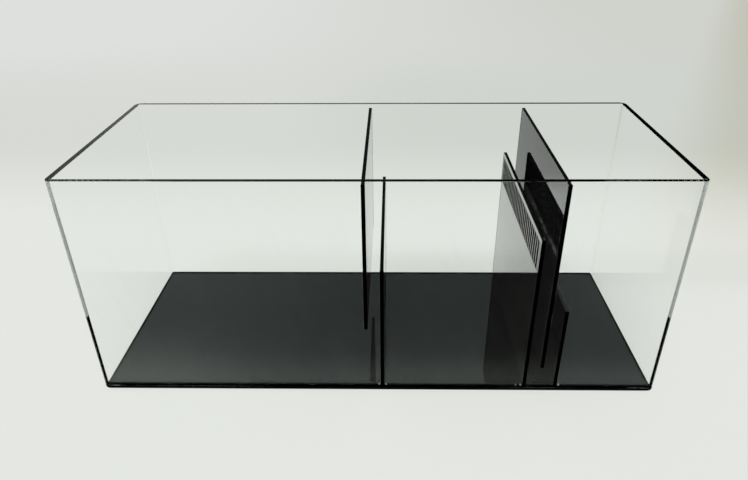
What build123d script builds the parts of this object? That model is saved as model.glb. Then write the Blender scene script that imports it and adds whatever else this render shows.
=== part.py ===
from build123d import *
import os

# A refugium sump: an open tank of clear acrylic walls cemented on a black base plate.
# Black cross panels divide it into chambers, and water runs through them from left to right.
# Millimetres. +X runs along the tank, +Y goes to the back, +Z is up.
# The origin lies under the middle of the base plate, on its underside.

# Outside of the tank
overall_length = 914.0
overall_depth = 371.0
overall_height = 373.0

# Sheet stock
wall_thickness = 8.6
base_thickness = 5.6
baffle_thickness = 5.6

# Edge work
corner_radius = 12.0
edge_ease = 0.6
base_edge_ease = 0.9

# Chambers and gaps from left to right, each measured between panel faces.
# The return chamber takes what is left.
inlet_chamber_length = 429.4
trap_gap = 19.8
refugium_length = 228.5
overflow_gap = 19.8
riser_gap = 19.8

# Cross panels that stand on the base, measured up from it
refugium_inlet_weir_height = 222.4
slotted_weir_height = 272.7
return_weir_height = 148.8

# Cross panels that hang clear of the base: the gap below, and the drop of their top under the rim
inlet_baffle_gap = 114.5
inlet_baffle_drop = 7.3
return_baffle_gap = 38.5
return_baffle_drop = 7.7

# Slots of the overflow weir
slot_width = 7.9
slot_height = 48.5
slot_pitch = 12.7
slot_top_margin = 7.5
slot_end_margin = 12.0

# Cement beads in the inner corners
bead_leg = 1.6
bead_hollow = 0.38
corner_bead_drop = 6.0

# Worked out from the sizes above
front_outer = -overall_depth / 2
back_outer = overall_depth / 2
front_inner = front_outer + wall_thickness
back_inner = back_outer - wall_thickness
left_outer = -overall_length / 2
right_outer = overall_length / 2
left_inner = left_outer + wall_thickness
right_inner = right_outer - wall_thickness
inner_depth = back_inner - front_inner
floor_z = base_thickness
rim_z = overall_height
wall_height = rim_z - floor_z

inlet_baffle_x = left_inner + inlet_chamber_length
refugium_inlet_weir_x = inlet_baffle_x + baffle_thickness + trap_gap
slotted_weir_x = refugium_inlet_weir_x + baffle_thickness + refugium_length
return_baffle_x = slotted_weir_x + baffle_thickness + overflow_gap
return_weir_x = return_baffle_x + baffle_thickness + riser_gap

inlet_baffle_foot = floor_z + inlet_baffle_gap
inlet_baffle_top = rim_z - inlet_baffle_drop
return_baffle_foot = floor_z + return_baffle_gap
return_baffle_top = rim_z - return_baffle_drop
refugium_inlet_weir_top = floor_z + refugium_inlet_weir_height
slotted_weir_top = floor_z + slotted_weir_height
return_weir_top = floor_z + return_weir_height
slot_count = int((inner_depth - 2 * slot_end_margin - slot_width) / slot_pitch) + 1

LOW = Align.MIN
MID = Align.CENTER


def write(builder, name):
    builder.part.label = name
    export_step(builder.part, f"parts/{name}.step")


def wall_in_outline(middle, length, depth):
    """A wall as high as the rim, cut from the outline of the whole tank with its rounded corners."""
    with BuildSketch(Plane.XY.offset(floor_z)) as plan:
        RectangleRounded(overall_length, overall_depth, corner_radius)
        with Locations(middle):
            Rectangle(length, depth, mode=Mode.INTERSECT)
    extrude(plan.sketch, amount=wall_height)


def long_wall(name, outer_y, inward):
    """A front or back wall: full length, its rim eased all round."""
    with BuildPart() as wall:
        wall_in_outline((0, outer_y + inward * wall_thickness / 2), overall_length, wall_thickness)
        fillet(wall.faces().sort_by(Axis.Z)[-1].edges(), radius=edge_ease)
    write(wall, name)


def end_wall(name, low_x):
    """A left or right wall, held between the two long walls, its rim eased along both faces."""
    with BuildPart() as wall:
        wall_in_outline((low_x + wall_thickness / 2, 0), wall_thickness, inner_depth)
        rim_edges = wall.faces().sort_by(Axis.Z)[-1].edges().filter_by(Axis.Y)
        fillet(rim_edges, radius=edge_ease)
    write(wall, name)


def cross_panel(name, low_x, foot_z, top_z, hangs):
    """A black panel across the tank. Its top edge is eased, and its foot too where it hangs clear."""
    with BuildPart() as panel:
        with Locations((low_x, 0, foot_z)):
            Box(baffle_thickness, inner_depth, top_z - foot_z, align=(LOW, MID, LOW))
        across = panel.edges().filter_by(Axis.Y).group_by(Axis.Z)
        eased = across[-1] + across[0] if hangs else across[-1]
        fillet(eased, radius=edge_ease)
    write(panel, name)


def slotted_panel(name, low_x, foot_z, top_z):
    """The overflow weir: a row of closed upright slots with round ends, just under its top edge."""
    slot_middle_z = top_z - slot_top_margin - slot_height / 2
    with BuildPart() as panel:
        with Locations((low_x, 0, foot_z)):
            Box(baffle_thickness, inner_depth, top_z - foot_z, align=(LOW, MID, LOW))
        fillet(panel.edges().filter_by(Axis.Y).group_by(Axis.Z)[-1], radius=edge_ease)
        with BuildSketch(Plane.YZ.offset(low_x)):
            with Locations((0, slot_middle_z)):
                with GridLocations(slot_pitch, 0, slot_count, 1):
                    SlotOverall(slot_height, slot_width, rotation=90)
        extrude(amount=baffle_thickness, mode=Mode.SUBTRACT)
    write(panel, name)


def bead_run(origin, along, side, length):
    """A run of cement in an inner corner: it starts at origin and goes along one direction.
    side is the first face's direction away from the corner, and the second face lies square to both."""
    corner = Plane(origin=origin, x_dir=side, z_dir=along)
    with BuildSketch(corner) as section:
        with BuildLine():
            Line((0, 0), (bead_leg, 0))
            ThreePointArc((bead_leg, 0), (bead_leg * bead_hollow, bead_leg * bead_hollow), (0, bead_leg))
            Line((0, bead_leg), (0, 0))
        make_face()
    extrude(section.sketch, amount=length)


def long_foot_bead(name, inner_y, inward):
    """Cement along the foot of a long wall, in one run for each chamber that reaches the base."""
    starts = [left_inner] + [x + baffle_thickness for x in standing_panels]
    ends = standing_panels + [right_inner]
    with BuildPart() as bead:
        for start, end in zip(starts, ends):
            if inward > 0:
                bead_run((start, inner_y, floor_z), (1, 0, 0), (0, 1, 0), end - start)
            else:
                bead_run((end, inner_y, floor_z), (-1, 0, 0), (0, -1, 0), end - start)
    write(bead, name)


def cross_bead_run(face_x, toward, foot_z):
    """Cement along the foot of a cross panel or end wall, between the beads of the long walls."""
    run = inner_depth - 2 * bead_leg
    if toward > 0:
        bead_run((face_x, back_inner - bead_leg, foot_z), (0, -1, 0), (1, 0, 0), run)
    else:
        bead_run((face_x, front_inner + bead_leg, foot_z), (0, 1, 0), (-1, 0, 0), run)


def upright_bead_runs(face_x, toward, low_z, high_z):
    """Cement up both ends of a panel face, against the long walls."""
    run = high_z - low_z
    if toward > 0:
        bead_run((face_x, front_inner, low_z), (0, 0, 1), (1, 0, 0), run)
        bead_run((face_x, back_inner, high_z), (0, 0, -1), (1, 0, 0), run)
    else:
        bead_run((face_x, back_inner, low_z), (0, 0, 1), (-1, 0, 0), run)
        bead_run((face_x, front_inner, high_z), (0, 0, -1), (-1, 0, 0), run)


def end_wall_beads(name, inner_x, toward):
    """The foot bead of an end wall and the beads in its two upright corners."""
    with BuildPart() as foot:
        cross_bead_run(inner_x, toward, floor_z)
    write(foot, f"{name}_foot_bead")
    with BuildPart() as corners:
        upright_bead_runs(inner_x, toward, floor_z + bead_leg, rim_z - corner_bead_drop)
    write(corners, f"{name}_corner_beads")


def cross_panel_beads(name, low_x, foot_z, top_z, hangs):
    """The beads on both faces of a cross panel: up its ends, and along its foot where it stands."""
    low_z = foot_z + edge_ease if hangs else foot_z + bead_leg
    with BuildPart() as beads:
        for face_x, toward in ((low_x, -1), (low_x + baffle_thickness, 1)):
            upright_bead_runs(face_x, toward, low_z, top_z - edge_ease)
            if not hangs:
                cross_bead_run(face_x, toward, foot_z)
    write(beads, f"{name}_beads")


os.makedirs("parts", exist_ok=True)
standing_panels = [refugium_inlet_weir_x, slotted_weir_x, return_weir_x]

with BuildPart() as base_plate:
    Box(overall_length, overall_depth, base_thickness, align=(MID, MID, LOW))
    fillet(base_plate.edges().filter_by(Axis.Z), radius=corner_radius)
    fillet(base_plate.faces().sort_by(Axis.Z)[0].edges(), radius=base_edge_ease)
write(base_plate, "base_plate")

long_wall("front_wall", front_outer, 1)
long_wall("back_wall", back_outer, -1)
end_wall("left_wall", left_outer)
end_wall("right_wall", right_inner)

slotted_panel("slotted_weir", slotted_weir_x, floor_z, slotted_weir_top)
cross_panel_beads("slotted_weir", slotted_weir_x, floor_z, slotted_weir_top, False)
for name, low_x, foot_z, top_z, hangs in (
    ("inlet_baffle", inlet_baffle_x, inlet_baffle_foot, inlet_baffle_top, True),
    ("refugium_inlet_weir", refugium_inlet_weir_x, floor_z, refugium_inlet_weir_top, False),
    ("return_baffle", return_baffle_x, return_baffle_foot, return_baffle_top, True),
    ("return_weir", return_weir_x, floor_z, return_weir_top, False),
):
    cross_panel(name, low_x, foot_z, top_z, hangs)
    cross_panel_beads(name, low_x, foot_z, top_z, hangs)

long_foot_bead("front_wall_foot_bead", front_inner, 1)
long_foot_bead("back_wall_foot_bead", back_inner, -1)
end_wall_beads("left_wall", left_inner, 1)
end_wall_beads("right_wall", right_inner, -1)
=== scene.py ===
import math
import random

import bpy
from mathutils import Matrix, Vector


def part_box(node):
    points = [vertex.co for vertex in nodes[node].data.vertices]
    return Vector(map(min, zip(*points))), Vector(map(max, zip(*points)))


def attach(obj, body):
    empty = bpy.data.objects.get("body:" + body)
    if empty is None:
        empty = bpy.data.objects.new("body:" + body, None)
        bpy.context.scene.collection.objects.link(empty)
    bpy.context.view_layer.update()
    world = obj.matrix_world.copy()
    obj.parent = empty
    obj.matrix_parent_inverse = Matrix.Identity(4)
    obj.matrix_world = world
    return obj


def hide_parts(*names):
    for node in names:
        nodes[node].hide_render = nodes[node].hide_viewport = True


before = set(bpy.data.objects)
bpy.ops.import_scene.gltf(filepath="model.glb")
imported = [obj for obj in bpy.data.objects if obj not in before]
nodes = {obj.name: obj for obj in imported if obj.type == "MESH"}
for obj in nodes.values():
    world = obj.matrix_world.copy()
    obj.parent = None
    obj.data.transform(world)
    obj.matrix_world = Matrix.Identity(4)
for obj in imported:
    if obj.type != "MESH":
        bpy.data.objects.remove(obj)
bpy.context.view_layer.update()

# The dressed refugium sump: clear walls cemented on a black base plate, with black panels across.
# Metres. +X runs along the tank, +Y goes to the back, +Z is up.
panels = ["inlet_baffle", "refugium_inlet_weir", "slotted_weir", "return_baffle", "return_weir"]
long_walls = ["front_wall", "back_wall"]
end_walls = ["left_wall", "right_wall"]

# The faces inside the tank that the small pieces lie on or against
floor_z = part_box("base_plate")[1][2]
wall_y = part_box("front_wall")[1][1]
left_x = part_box("left_wall")[1][0]
right_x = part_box("right_wall")[0][0]

# The photograph's frame in pixels, and the camera that took it, in metres and degrees
image_width = 748
image_height = 480
focal_pixels = 625.3
optical_column = 381.5
optical_row = 260.8
camera_place = (0.0235, -0.973, 0.7107)
camera_yaw = 1.05
camera_pitch = 30.43
camera_roll = -0.41
sensor_width = 36

# Light runs to and fro many times inside the clear sheets before it leaves them
clear_bounces = 48
diffuse_bounces = 3

# Optics of cast acrylic. The clear walls hold back weak reflections: they start at the first of
# the mirror shares and are whole from the second on. The light that falls on dull surfaces
# behind a wall passes it as if it were a thin tinted film.
white = (1, 1, 1, 1)
acrylic_ior = 1.49
clear_tint = (0.997, 1.0, 0.998, 1)
soft_light_tint = (0.985, 0.988, 0.986, 1)
inner_mirror_tint = (0.972, 0.977, 0.974, 1)
mirror_shares = (0.035, 0.35)

# How near a face has to lie to its neighbour's box to count as cemented to it. On black sheet
# the cement bead beside the joint takes the shine away too.
joint_reach = 0.0002
bead_reach = 0.0016

# How squarely a joint between clear sheets looks along Y at least, and how squarely a black
# sheet's edge looks along the axis of its faces at most. 1 is straight along the axis.
joint_facing = 0.99
edge_facing = 0.7

# Most of a noise texture lies between these values
noise_range = (0.35, 0.65)

# Cement: cloudy in places, with fine bubbles. The beads stand a film's width off the sheets, so
# that no two clear faces lie in one plane.
cement_colour = (0.6, 0.62, 0.6, 1)
cement_cloud = 0.1
cloud_contrast = (0.55, 0.8)
cement_roughness = 0.3
bubble_scale = 420.0
bubble_size = 0.14
bubble_share = 0.35
bead_film = 0.00004

# The film of grey wiping marks and pale dust inside the front wall, by the share of the light that
# it stops. The marks lean and grow fainter upwards. The dust lies near the foot, most of all at
# the left end, and there is none along the joint.
mark_colour = (0.33, 0.345, 0.325, 1)
film_colour = (0.96, 1.0, 0.94, 1)
film_gap = 0.0001
mark_share = (0.02, 0.042)
mark_contrast = (0.5, 0.72)
mark_lean = 0.27
mark_scale = (75.0, 1.0, 9.0)
marks_height = (0.02, 0.36)
marks_fade = (1.35, 0.45)
foot_film = 0.033
foot_film_height = (0.0, 0.085)
left_film = 0.06
left_film_height = (0.0, 0.16)
left_film_along = (-0.4, -0.12)
joint_height = (0.0065, 0.0105)

# Black sheet: glossy faces with faint smudges, and finely milled edges
black_colour = (0.0022, 0.0022, 0.0024, 1)
cemented_and_painted_shade_colour = (0.003, 0.003, 0.003, 1)
mirror_tint = (0.92, 1.0, 0.95, 1)
smudge_contrast = (0.4, 0.75)
face_roughness = (0.01, 0.04)
face_coat = {"slotted_weir": 1.0, "return_baffle": 1.0}
coat_roughness = 0.02
mill_scale = (1400.0, 1400.0, 40.0)
mill_contrast = (0.3, 0.7)
mill_strength = 0.15
mill_depth = 0.0001
edge_roughness = (0.3, 0.45)
edge_shine = 0.004
return_weir_edge_shine = 0.25

# The thin haze on black faces. On the return baffle there is more of it up to a level smear, as
# if water had stood there.
haze_colour = (0.96, 1.0, 0.94, 1)
haze_share = 0.002
weir_haze_share = 0.007
low_haze_share = 0.014
smear_share = 0.17
smear_least = 0.25
smear_height = 0.2525
smear_reach = 0.009
smear_depth = (0.04, 0.09)

# Painted shade: where black faces are drawn with their reflection taken away, along the front
# joint, between the slots, and on the return baffle, there most at its back and top
painted_shade_margin = (0.0024, 0.0074)
slots_drop = (0.056, 0.0075)
painted_shade_ribs = (0.33, 0.5)
painted_shade_ribs_depth = (-0.17, 0.17)
painted_shade_baffle = (0.2, 0.48)
painted_shade_baffle_slant = 0.5
painted_shade_baffle_from = (0.255, 0.31)

# The surroundings. Heights are in degrees above the horizon, and "along" is the X of a direction.
backdrop_colour = (0.685, 0.695, 0.665, 1)
backdrop_along = (-0.3, 0.35)
backdrop_top = (21, 11)
backdrop_edge = 4
low_wall_along = (-0.35, 0.33)
low_wall_brightness = (0.55, 0.0)
window_along = (-0.3, -0.5)
window_brightness = 1.1
high_wall_from = (25, 31)
high_wall_brightness = 0.28
high_wall_tint = (0.9, 1.0, 1.02)
side_brightness = 0.7
side_middle = 0.08
side_along = (0.05, 0.45)
ceiling_from = (34, 60)
ceiling_colour = (1.5, 1.57, 1.5, 1)

# The table that the tank stands on. It fades into a backdrop that is dimmer at its foot than above.
table_colour = (0.79, 0.81, 0.77, 1)
table_radius = 9
table_corner_degrees = 5
table_glow = 0.78
glow_all_from = (0.6, 1.2)
near_colour = (0.79, 0.805, 0.772, 1)
dip_left_colour = (0.68, 0.7, 0.665, 1)
dip_right_colour = (0.63, 0.66, 0.62, 1)
dip_along = (-0.5, 0.15)
dip_depth = (0.34, 1.02)
far_left_colour = (0.733, 0.748, 0.73, 1)
far_right_colour = (0.63, 0.642, 0.605, 1)
far_along = (-1.8, 1.9)
far_depth = (1.25, 2.8)

# The shade on the table close behind the tank, lighter on the left and weaker at the right end
behind_left_tint = (0.93, 0.93, 0.925, 1)
behind_right_tint = (0.86, 0.865, 0.855, 1)
behind_along = (-0.1, 0.05)
behind_from = (-0.45, -0.3)
behind_to = (0.36, 0.46)
behind_right_share = 0.3
behind_wall = (0.1, 0.18)
behind_depth = (0.22, 0.33)

# The shade on the table to the right of the tank. Its edge runs at a slant.
shade_tint = (0.87, 0.85, 0.78, 1)
shade_edge = (-0.2, 0.12)
shade_slant = 0.5
shade_along = 0.56
shade_depth = (-0.1, 0.9)

# Specks of dust: where each lies and its size, with stretch and reach as shares of the size.
# The strays are strewn over the base plate by chance.
speck_colour = (0.34, 0.35, 0.34, 1)
dark_speck_colour = (0.2, 0.21, 0.2, 1)
speck_lift = 0.00005
speck_corners = 7
speck_stretch = (0.6, 1.5)
speck_reach = (0.6, 1.0)
floor_specks = [(-0.2577, -0.1304, 0.0007), (-0.315, -0.0271, 0.0006), (-0.4435, -0.1703, 0.0009)]
wall_specks = [
    (0.2429, 0.2816, 0.0008),
    (0.2569, 0.2667, 0.0009),
    (0.2472, 0.1884, 0.0007),
    (0.2553, 0.1909, 0.0006),
]
stray_speck_count = 90
stray_speck_size = (0.00015, 0.0004)
stray_from_wall = 0.01
stray_from_panel = 0.004

# A scratch in the base plate and the painted highlight lines under the front wall are broken unevenly
broken_contrast = (0.35, 0.6)
scratch_colour = (0.3, 0.31, 0.3, 1)
scratch_share = (0.1, 0.5)
scratch_line = [(-0.3413, -0.0812), (-0.334, -0.101), (-0.3235, -0.1265), (-0.3115, -0.1568)]
scratch_width = 0.00035
scratch_end_width = scratch_width / 4
scratch_lift = 0.00004

# Dabs of cement at the panels' front feet: where each stands along the tank, and its radius.
# A dab's height, distance from the wall and reach at its foot are in radii.
cement_dabs = [
    (0.0037, 0.0014),
    (0.0149, 0.0014),
    (0.2299, 0.0011),
    (0.2376, 0.0014),
    (0.3006, 0.0018),
]
dab_height = 2.4
dab_from_wall = 1.2
dab_foot_reach = 1.05
dab_unevenness = (0.7, 1.1)
dab_lift = 0.0001
dab_rings = 4
dab_sectors = 10
dab_cloud = (0.45, 0.95)
dab_roughness = 0.35

# Painted highlights along the joint under the front wall: where each line starts and ends, and its
# greatest width
joint_glint_colour = (0.4, 0.41, 0.4, 1)
joint_glint_share = (0.15, 0.8)
joint_glint_lift = 0.0003
joint_glint_inset = 0.0004
joint_glint_steps = 12
joint_glint_runs = [
    (-0.449, -0.4185, 0.0016),
    (-0.42, -0.17, 0.0005),
    (0.2, 0.33, 0.0005),
    (0.4086, 0.449, 0.0014),
]


class Graph:
    """A node tree that is built by calls which return sockets."""

    def __init__(self, owner):
        owner.use_nodes = True
        self.tree = owner.node_tree
        self.tree.nodes.clear()

    def node(self, kind, inputs=None, **settings):
        made = self.tree.nodes.new(kind)
        for name, value in settings.items():
            setattr(made, name, value)
        for name, value in (inputs or {}).items():
            self.feed(made.inputs[name], value)
        return made

    def feed(self, socket, value):
        """Links a socket to another, or sets a number or a colour on it."""
        if isinstance(value, bpy.types.NodeSocket):
            self.tree.links.new(value, socket)
        else:
            socket.default_value = value

    def math(self, operation, *values):
        made = self.node("ShaderNodeMath", operation=operation)
        for socket, value in zip(made.inputs, values):
            self.feed(socket, value)
        return made.outputs[0]

    def vector_math(self, operation, *values):
        made = self.node("ShaderNodeVectorMath", operation=operation)
        for socket, value in zip(made.inputs, values):
            self.feed(socket, value)
        return made.outputs[0]

    def split(self, vector):
        made = self.node("ShaderNodeSeparateXYZ", {"Vector": vector})
        return made.outputs["X"], made.outputs["Y"], made.outputs["Z"]

    def place(self):
        """Where the shaded point is on the object, in metres."""
        return self.node("ShaderNodeTexCoord").outputs["Object"]

    def ramp(self, value, low, high, start=0.0, end=1.0):
        """Goes smoothly from start to end as value goes from low to high."""
        made = self.node("ShaderNodeMapRange", interpolation_type="SMOOTHSTEP")
        inputs = {"Value": value, "From Min": low, "From Max": high, "To Min": start, "To Max": end}
        for name, number in inputs.items():
            self.feed(made.inputs[name], number)
        return made.outputs["Result"]

    def between(self, value, low, high):
        above = self.math("GREATER_THAN", value, low)
        below = self.math("LESS_THAN", value, high)
        return self.math("MULTIPLY", above, below)

    def facing(self, axis):
        """How squarely the face looks along an axis, 0 to 2, either way: 1 is straight along it."""
        normal = self.node("ShaderNodeNewGeometry").outputs["True Normal"]
        return self.math("ABSOLUTE", self.split(normal)[axis])

    def near_boxes(self, names, reach):
        """1 where the shaded point lies within reach of one of these nodes' boxes, otherwise 0."""
        axes = self.split(self.place())
        found = 0.0
        for name in names:
            low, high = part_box(name)
            inside = 1.0
            for axis, least, most in zip(axes, low, high):
                within = self.between(axis, least - reach, most + reach)
                inside = self.math("MULTIPLY", inside, within)
            found = self.math("MAXIMUM", found, inside)
        return found

    def mix_colour(self, factor, first, second, blend="MIX"):
        made = self.node("ShaderNodeMix", data_type="RGBA", blend_type=blend)
        self.feed(made.inputs[0], factor)
        self.feed(made.inputs[6], first)
        self.feed(made.inputs[7], second)
        return made.outputs[2]

    def tinted(self, brightness, tint):
        """A colour of this brightness."""
        made = self.node("ShaderNodeCombineColor")
        for socket, part in zip(made.inputs, tint):
            self.feed(socket, self.math("MULTIPLY", brightness, part))
        return made.outputs[0]

    def noise(self, vector, scale, detail=2.0, roughness=0.5):
        inputs = {"Vector": vector, "Scale": scale, "Detail": detail, "Roughness": roughness}
        return self.node("ShaderNodeTexNoise", inputs).outputs["Fac"]

    def mix_shader(self, factor, first, second):
        made = self.node("ShaderNodeMixShader")
        for socket, value in zip(made.inputs, (factor, first, second)):
            self.feed(socket, value)
        return made.outputs[0]

    def matte(self, colour):
        return self.node("ShaderNodeBsdfDiffuse", {"Color": colour}).outputs[0]

    def plastic(self, inputs):
        return self.node("ShaderNodeBsdfPrincipled", inputs).outputs[0]

    def see_through(self, tint):
        """Lets light straight on."""
        return self.node("ShaderNodeBsdfTransparent", {"Color": tint}).outputs[0]

    def surface(self, shader):
        output = self.node("ShaderNodeOutputMaterial")
        self.feed(output.inputs["Surface"], shader)


def new_material(name):
    material = bpy.data.materials.new(name)
    return material, Graph(material)


def dress(node, material):
    """Gives a CAD node its material."""
    node.data.materials.clear()
    node.data.materials.append(material)


def add_object(name, data):
    made = bpy.data.objects.new(name, data)
    bpy.context.scene.collection.objects.link(made)
    return made


def add_piece(name, verts, faces, material, slot):
    """Adds a small piece of the object from its points and faces."""
    mesh = bpy.data.meshes.new(name)
    mesh.from_pydata(verts, [], faces)
    mesh.materials.append(material)
    piece = add_object(name, mesh)
    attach(piece, "root")


def cemented_and_painted_shade(graph):
    """The look of a face that cement joins to black sheet, also used as painted shade: black, with no
    shine of its own.
    """
    return graph.matte(cemented_and_painted_shade_colour)


def painted_shade_share(graph, name):
    """How much of a black sheet's face is painted shade, with its reflection taken away."""
    _, depth, height = graph.split(graph.place())
    if name == "base_plate":
        from_wall = graph.math("SUBTRACT", depth, wall_y)
        return graph.ramp(from_wall, *painted_shade_margin, 1.0, 0.0)
    if name == "slotted_weir":
        below, above = (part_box(name)[1][2] - drop for drop in slots_drop)
        lost = graph.ramp(depth, *painted_shade_ribs_depth, *painted_shade_ribs)
        return graph.math("MULTIPLY", graph.between(height, below, above), lost)
    if name == "return_baffle":
        slant = graph.math("MULTIPLY_ADD", depth, painted_shade_baffle_slant, height)
        return graph.ramp(slant, *painted_shade_baffle_from, *painted_shade_baffle)
    return 0.0


def hazy_share(graph, name):
    """How much of a black sheet's face the haze hides. The smear on the return baffle is uneven,
    and fades out towards the back."""
    if name == "slotted_weir":
        return weir_haze_share
    if name != "return_baffle":
        return haze_share
    place = graph.place()
    _, depth, height = graph.split(place)
    above = graph.math("SUBTRACT", height, smear_height)
    low_haze = graph.ramp(above, -smear_reach, smear_reach, low_haze_share, haze_share)
    smear = graph.ramp(graph.math("ABSOLUTE", above), 0.0, smear_reach, smear_share, 0.0)
    smear = graph.math("MULTIPLY", smear, graph.ramp(depth, *smear_depth, 1.0, 0.0))
    uneven = graph.ramp(graph.noise(place, scale=60.0, detail=3.0), *noise_range, smear_least, 1.0)
    return graph.math("MULTIPLY_ADD", smear, uneven, low_haze)


def clear_acrylic(name, clear_neighbours, black_neighbours):
    """Polished clear sheet. Where it is cemented to clear sheet, light goes straight on: all such
    joints lie between a long wall and an end wall, and look along Y. Where it is cemented to black
    sheet, light ends there."""
    material, graph = new_material(name)
    fresnel = graph.node("ShaderNodeFresnel", {"IOR": acrylic_ior}).outputs[0]
    mirrored = graph.math("MULTIPLY", fresnel, graph.ramp(fresnel, *mirror_shares))
    bent_inputs = {"Color": clear_tint, "Roughness": 0.0, "IOR": acrylic_ior}
    bent = graph.node("ShaderNodeBsdfRefraction", bent_inputs).outputs[0]
    mirror_inputs = {"Color": inner_mirror_tint, "Roughness": 0.0}
    mirror = graph.node("ShaderNodeBsdfAnisotropic", mirror_inputs).outputs[0]
    glass = graph.mix_shader(mirrored, bent, mirror)
    path = graph.node("ShaderNodeLightPath")
    soft_light = graph.math("MAXIMUM", path.outputs["Is Shadow Ray"], path.outputs["Is Diffuse Ray"])
    lit = graph.mix_shader(soft_light, glass, graph.see_through(soft_light_tint))
    joint_face = graph.math("GREATER_THAN", graph.facing(1), joint_facing)
    on_joint = graph.math("MULTIPLY", joint_face, graph.near_boxes(clear_neighbours, joint_reach))
    joined = graph.mix_shader(on_joint, lit, graph.see_through(white))
    ended = graph.near_boxes(black_neighbours, joint_reach)
    graph.surface(graph.mix_shader(ended, joined, cemented_and_painted_shade(graph)))
    return material


def black_acrylic(name, flat_axis, joined_to):
    """Black cast sheet: high gloss on its two faces, finely milled and satin on its edges.
    flat_axis is the axis, 0 to 2, that its faces look along."""
    material, graph = new_material(name)
    edge = graph.math("LESS_THAN", graph.facing(flat_axis), edge_facing)
    place = graph.place()
    smudge = graph.noise(place, scale=9.0, detail=4.0)
    face = graph.plastic({
        "Base Color": black_colour,
        "Roughness": graph.ramp(smudge, *smudge_contrast, *face_roughness),
        "IOR": acrylic_ior,
        "Specular Tint": mirror_tint,
        "Coat Weight": face_coat.get(name, 0.0),
        "Coat Roughness": coat_roughness,
    })
    # Painted shade: here the face's reflection gives way to plain black
    face = graph.mix_shader(painted_shade_share(graph, name), face, cemented_and_painted_shade(graph))
    hazy = graph.mix_shader(hazy_share(graph, name), face, graph.matte(haze_colour))
    milled = graph.noise(graph.vector_math("MULTIPLY", place, mill_scale), scale=1.0, detail=3.0)
    bump_inputs = {"Strength": mill_strength, "Distance": mill_depth, "Height": milled}
    milled_edge = graph.plastic({
        "Base Color": black_colour,
        "Roughness": graph.ramp(milled, *mill_contrast, *edge_roughness),
        "IOR": acrylic_ior,
        "Specular IOR Level": return_weir_edge_shine if name == "return_weir" else edge_shine,
        "Normal": graph.node("ShaderNodeBump", bump_inputs).outputs[0],
    })
    sheet = graph.mix_shader(edge, hazy, milled_edge)
    # Painted shade: seen in another sheet's mirror, this one is drawn black, with no shine
    path = graph.node("ShaderNodeLightPath")
    glossy, bent = path.outputs["Is Glossy Ray"], path.outputs["Is Transmission Ray"]
    sheet = graph.mix_shader(graph.math("SUBTRACT", glossy, bent), sheet, cemented_and_painted_shade(graph))
    graph.surface(graph.mix_shader(graph.near_boxes(joined_to, bead_reach), sheet, cemented_and_painted_shade(graph)))
    return material


def set_cement(graph, cloudy_share, roughness):
    """Cement that is clear except for a cloudy share."""
    milky = graph.plastic({"Base Color": cement_colour, "Roughness": roughness})
    return graph.mix_shader(cloudy_share, graph.see_through(white), milky)


def bead_cement():
    """The cement of the beads, with a little cloud and a few fine bubbles."""
    material, graph = new_material("cement")
    place = graph.place()
    cloud = graph.ramp(graph.noise(place, scale=90.0, detail=3.0), *cloud_contrast, 0.0, cement_cloud)
    bubble = graph.node("ShaderNodeTexVoronoi", {"Vector": place, "Scale": bubble_scale})
    in_bubble = graph.math("LESS_THAN", bubble.outputs["Distance"], bubble_size)
    cloudy = graph.math("MAXIMUM", cloud, graph.math("MULTIPLY", in_bubble, bubble_share))
    graph.surface(set_cement(graph, cloudy, cement_roughness))
    return material


def bead_pieces():
    """The cement beads, on the CAD's shapes, each a film's width off the sheets that it joins."""
    look = bead_cement()
    # The planes across the tank that beads lie against, with the direction away from the sheet
    planes = [(left_x, 1), (right_x, -1)]
    for panel in panels:
        low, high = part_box(panel)
        planes += [(low[0], -1), (high[0], 1)]
    for name in [name for name in nodes if name.endswith(("bead", "beads"))]:
        mesh = nodes[name].data.copy()
        for vertex in mesh.vertices:
            x, y, z = vertex.co
            for plane_x, away in planes:
                if abs(x - plane_x) < bead_film:
                    x += away * bead_film
            if abs(y) > abs(wall_y) - bead_film:
                y -= math.copysign(bead_film, y)
            if z < floor_z + bead_film:
                z += bead_film
            vertex.co = (x, y, z)
        mesh.materials.clear()
        mesh.materials.append(look)
        piece = add_object(name + "_set", mesh)
        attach(piece, "root")
        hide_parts(name)


def front_film():
    """Dust and wiping marks on the inside of the front wall."""
    low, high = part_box("front_wall")
    y = high[1] + film_gap
    foot, top = low[2] + film_gap, high[2] - film_gap
    verts = [(left_x, y, foot), (right_x, y, foot), (right_x, y, top), (left_x, y, top)]
    material, graph = new_material("dust_film")
    along, _, height = graph.split(graph.place())
    off_joint = graph.ramp(height, *joint_height)
    leaning = graph.node("ShaderNodeCombineXYZ", {
        "X": graph.math("MULTIPLY_ADD", height, mark_lean, along),
        "Z": height,
    })
    stretched = graph.vector_math("MULTIPLY", leaning.outputs[0], mark_scale)
    streak = graph.noise(stretched, scale=1.0, detail=4.0, roughness=0.55)
    marks_share = graph.ramp(streak, *mark_contrast, *mark_share)
    marks_share = graph.math("MULTIPLY", marks_share, graph.ramp(height, *marks_height, *marks_fade))
    marks_share = graph.math("MULTIPLY", marks_share, off_joint)
    at_foot = graph.ramp(height, *foot_film_height, foot_film, 0.0)
    at_left = graph.ramp(along, *left_film_along, left_film, 0.0)
    low_left = graph.ramp(height, *left_film_height, 1.0, 0.0)
    dust_share = graph.math("MULTIPLY_ADD", at_left, low_left, at_foot)
    dust_share = graph.math("MULTIPLY", dust_share, off_joint)
    marked = graph.mix_shader(marks_share, graph.see_through(white), graph.matte(mark_colour))
    graph.surface(graph.mix_shader(dust_share, marked, graph.matte(film_colour)))
    add_piece("front_film", verts, [(0, 1, 2, 3)], material, "clear_acrylic")


def speck_material():
    """Pale lint and dust, a little uneven."""
    material, graph = new_material("specks")
    fleck = graph.noise(graph.place(), scale=900.0)
    colour = graph.mix_colour(graph.ramp(fleck, *noise_range), dark_speck_colour, speck_colour)
    graph.surface(graph.matte(colour))
    return material


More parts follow.
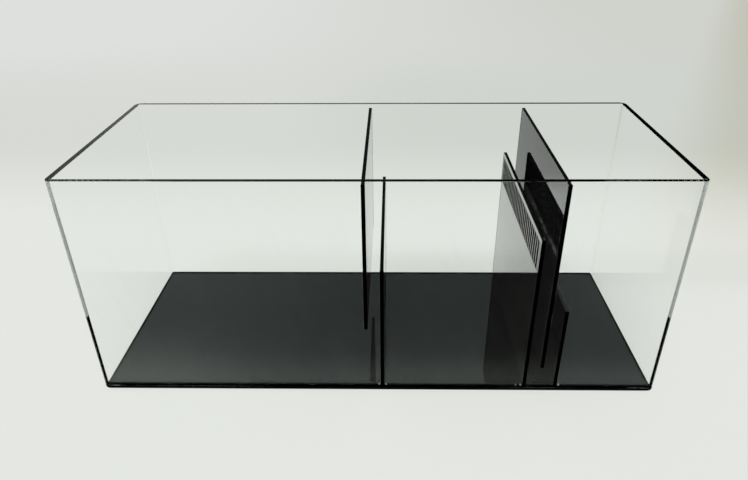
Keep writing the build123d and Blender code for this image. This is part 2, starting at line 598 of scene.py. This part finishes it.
def flakes(places, lay):
    """Small ragged flakes. lay turns a flake's own two coordinates into a point in the tank."""
    chance = random.Random(5)
    verts, faces = [], []
    for first, second, size in places:
        start = len(verts)
        stretch = chance.uniform(*speck_stretch)
        for corner in range(speck_corners):
            angle = math.tau * corner / speck_corners
            reach = size * chance.uniform(*speck_reach)
            across = reach * stretch * math.cos(angle)
            verts.append(lay(first + across, second + reach * math.sin(angle)))
        faces.append(range(start, start + speck_corners))
    return verts, faces


def settled_dust():
    """Specks of dust on the base plate and inside the front wall."""
    material = speck_material()
    speck_z = floor_z + speck_lift
    speck_y = wall_y + speck_lift
    boxes = [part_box(name) for name in panels]
    panel_spans = [(low[0] - stray_from_panel, high[0] + stray_from_panel) for low, high in boxes]
    chance = random.Random(11)
    strays = []
    while len(strays) < stray_speck_count:
        x = chance.uniform(left_x + stray_from_wall, right_x - stray_from_wall)
        y = chance.uniform(speck_y + stray_from_wall, -speck_y - stray_from_wall)
        if not any(low < x < high for low, high in panel_spans):
            strays.append((x, y, chance.uniform(*stray_speck_size)))
    on_floor = flakes(floor_specks + strays, lambda x, y: (x, y, speck_z))
    on_wall = flakes(wall_specks, lambda x, z: (x, speck_y, z))
    add_piece("floor_specks", *on_floor, material, "cement")
    add_piece("wall_specks", *on_wall, material, "cement")


def broken_line(name, colour, scale, shown):
    """The look of a pale line that shows more in some places than in others."""
    material, graph = new_material(name)
    share = graph.ramp(graph.noise(graph.place(), scale), *broken_contrast, *shown)
    graph.surface(graph.mix_shader(share, graph.see_through(white), graph.matte(colour)))
    return material


def scratch():
    """A fine scratch in the face of the base plate, thinner at its ends."""
    scratch_z = floor_z + scratch_lift
    verts, faces = [], []
    last = len(scratch_line) - 1
    for index, (x, y) in enumerate(scratch_line):
        half = scratch_width / 2 if 0 < index < last else scratch_end_width / 2
        verts += [(x - half, y, scratch_z), (x + half, y, scratch_z)]
    for index in range(last):
        faces.append((2 * index, 2 * index + 1, 2 * index + 3, 2 * index + 2))
    material = broken_line("scratch", scratch_colour, 300.0, scratch_share)
    add_piece("scratch", verts, faces, material, "black_acrylic")


def dabs():
    """Small pointed dabs where cement ran out of the joints at the panels' front feet."""
    material, graph = new_material("cement_dab")
    cloud = graph.ramp(graph.noise(graph.place(), scale=1500.0, detail=3.0), *noise_range, *dab_cloud)
    graph.surface(set_cement(graph, cloud, dab_roughness))
    chance = random.Random(3)
    verts, faces = [], []
    for x, size in cement_dabs:
        start = len(verts)
        for ring in range(dab_rings):
            rise = ring / (dab_rings - 1)
            for sector in range(dab_sectors):
                angle = math.tau * sector / dab_sectors
                reach = size * (dab_foot_reach - rise) * chance.uniform(*dab_unevenness)
                verts.append((
                    x + reach * math.cos(angle),
                    wall_y + size * dab_from_wall + reach * math.sin(angle),
                    floor_z + dab_lift + size * dab_height * rise,
                ))
        for ring in range(dab_rings - 1):
            for sector in range(dab_sectors):
                low = start + ring * dab_sectors
                high = low + dab_sectors
                after = (sector + 1) % dab_sectors
                faces.append((low + sector, low + after, high + after, high + sector))
    add_piece("cement_dabs", verts, faces, material, "cement")


def joint_glint():
    """Thin pale lines painted as highlights along the joint under the front wall."""
    outer_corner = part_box("front_wall")[0]
    line_z = outer_corner[2] + joint_glint_lift
    outer_y = outer_corner[1] + joint_glint_inset
    verts, faces = [], []
    for start, end, widest in joint_glint_runs:
        first = len(verts)
        for step in range(joint_glint_steps + 1):
            x = start + (end - start) * step / joint_glint_steps
            width = widest * math.sin(math.pi * (step + 0.5) / (joint_glint_steps + 1))
            verts += [(x, outer_y, line_z), (x, outer_y + width, line_z)]
        for step in range(joint_glint_steps):
            low = first + 2 * step
            faces.append((low, low + 2, low + 3, low + 1))
    material = broken_line("joint_glint", joint_glint_colour, 160.0, joint_glint_share)
    add_piece("joint_glint", verts, faces, material, "cement")


def surroundings():
    """The studio: a pale backdrop, walls above it that are brighter on the left, and a soft
    bright ceiling. Seen directly or straight through the clear walls, it is backdrop all over."""
    world = bpy.data.worlds.new("studio")
    bpy.context.scene.world = world
    graph = Graph(world)
    direction = graph.node("ShaderNodeTexCoord").outputs["Generated"]
    along, _, up = graph.split(direction)
    elevation = graph.math("DEGREES", graph.math("ARCSINE", up))
    low_wall = graph.ramp(along, *low_wall_along, *low_wall_brightness)
    window = graph.ramp(along, *window_along, 0.0, window_brightness)
    low_wall = graph.tinted(graph.math("ADD", low_wall, window), white[:3])
    aside = graph.math("ABSOLUTE", graph.math("SUBTRACT", along, side_middle))
    sides = graph.ramp(aside, *side_along, 1.0, 1.0 + side_brightness)
    high_wall = graph.tinted(graph.math("MULTIPLY", sides, high_wall_brightness), high_wall_tint)
    walls = graph.mix_colour(graph.ramp(elevation, *high_wall_from), low_wall, high_wall)
    above = graph.math("SUBTRACT", elevation, graph.ramp(along, *backdrop_along, *backdrop_top))
    room = graph.mix_colour(graph.ramp(above, 0.0, backdrop_edge), backdrop_colour, walls)
    light = graph.mix_colour(graph.ramp(elevation, *ceiling_from), room, ceiling_colour)
    path = graph.node("ShaderNodeLightPath")
    unmirrored = graph.math("LESS_THAN", path.outputs["Glossy Depth"], 0.5)
    through_walls = graph.math("MULTIPLY", path.outputs["Is Transmission Ray"], unmirrored)
    seen = graph.math("MAXIMUM", path.outputs["Is Camera Ray"], through_walls)
    colour = graph.mix_colour(seen, light, backdrop_colour)
    background = graph.node("ShaderNodeBackground", {"Color": colour})
    output = graph.node("ShaderNodeOutputWorld")
    graph.feed(output.inputs["Surface"], background.outputs[0])


def table():
    """A pale table top that fades into the backdrop behind the tank."""
    angles = [math.radians(degree) for degree in range(0, 360, table_corner_degrees)]
    rim = [(table_radius * math.cos(angle), table_radius * math.sin(angle), 0) for angle in angles]
    mesh = bpy.data.meshes.new("table")
    mesh.from_pydata(rim, [], [range(len(rim))])
    floor = add_object("table", mesh)
    material, graph = new_material("table")
    place = graph.place()
    along, depth, _ = graph.split(place)
    dip = graph.mix_colour(graph.ramp(along, *dip_along), dip_left_colour, dip_right_colour)
    far = graph.mix_colour(graph.ramp(along, *far_along), far_left_colour, far_right_colour)
    colour = graph.mix_colour(graph.ramp(depth, *dip_depth), near_colour, dip)
    colour = graph.mix_colour(graph.ramp(depth, *far_depth), colour, far)
    shade_middle = graph.math("MULTIPLY_ADD", depth, shade_slant, shade_along)
    beside = graph.math("SUBTRACT", along, shade_middle)
    shade = graph.math("MULTIPLY", graph.ramp(beside, *shade_edge), graph.ramp(depth, *shade_depth))
    colour = graph.mix_colour(shade, colour, shade_tint, "MULTIPLY")
    right_end = graph.ramp(along, *behind_to, 1.0, behind_right_share)
    behind = graph.math("MULTIPLY", graph.ramp(along, *behind_from), right_end)
    behind = graph.math("MULTIPLY", behind, graph.ramp(depth, *behind_wall))
    behind = graph.math("MULTIPLY", behind, graph.ramp(depth, *behind_depth, 1.0, 0.0))
    to_right = graph.ramp(along, *behind_along)
    behind_tint = graph.mix_colour(to_right, behind_left_tint, behind_right_tint)
    colour = graph.mix_colour(behind, colour, behind_tint, "MULTIPLY")
    glow = graph.node("ShaderNodeEmission", {"Color": colour}).outputs[0]
    distance = graph.node("ShaderNodeVectorMath", {0: place}, operation="LENGTH").outputs["Value"]
    share = graph.ramp(distance, *glow_all_from, table_glow, 1.0)
    graph.surface(graph.mix_shader(share, graph.matte(table_colour), glow))
    material.cycles.emission_sampling = "NONE"
    mesh.materials.append(material)


def photograph_camera():
    lens = bpy.data.cameras.new("camera")
    lens.sensor_width = sensor_width
    lens.lens = focal_pixels / image_width * sensor_width
    lens.shift_x = (image_width / 2 - optical_column) / image_width
    lens.shift_y = (optical_row - image_height / 2) / image_width
    camera = add_object("camera", lens)
    turn = Matrix.Rotation(math.radians(camera_yaw), 4, "Z")
    tilt = Matrix.Rotation(math.radians(90 - camera_pitch), 4, "X")
    roll = Matrix.Rotation(math.radians(camera_roll), 4, "Z")
    camera.matrix_world = Matrix.Translation(camera_place) @ turn @ tilt @ roll
    bpy.context.scene.camera = camera


for wall in long_walls:
    dress(nodes[wall], clear_acrylic(wall, end_walls, ["base_plate"] + panels))
for wall in end_walls:
    dress(nodes[wall], clear_acrylic(wall, long_walls, ["base_plate"]))
dress(nodes["base_plate"], black_acrylic("base_plate", 2, long_walls + end_walls))
for panel in panels:
    dress(nodes[panel], black_acrylic(panel, 0, long_walls + ["base_plate"]))

bead_pieces()
front_film()
settled_dust()
scratch()
dabs()
joint_glint()
surroundings()
table()
photograph_camera()

scene = bpy.context.scene
scene.view_settings.view_transform = "Standard"
scene.cycles.max_bounces = clear_bounces
scene.cycles.glossy_bounces = clear_bounces
scene.cycles.transmission_bounces = clear_bounces
scene.cycles.transparent_max_bounces = clear_bounces
scene.cycles.diffuse_bounces = diffuse_bounces
scene.cycles.use_denoising = True
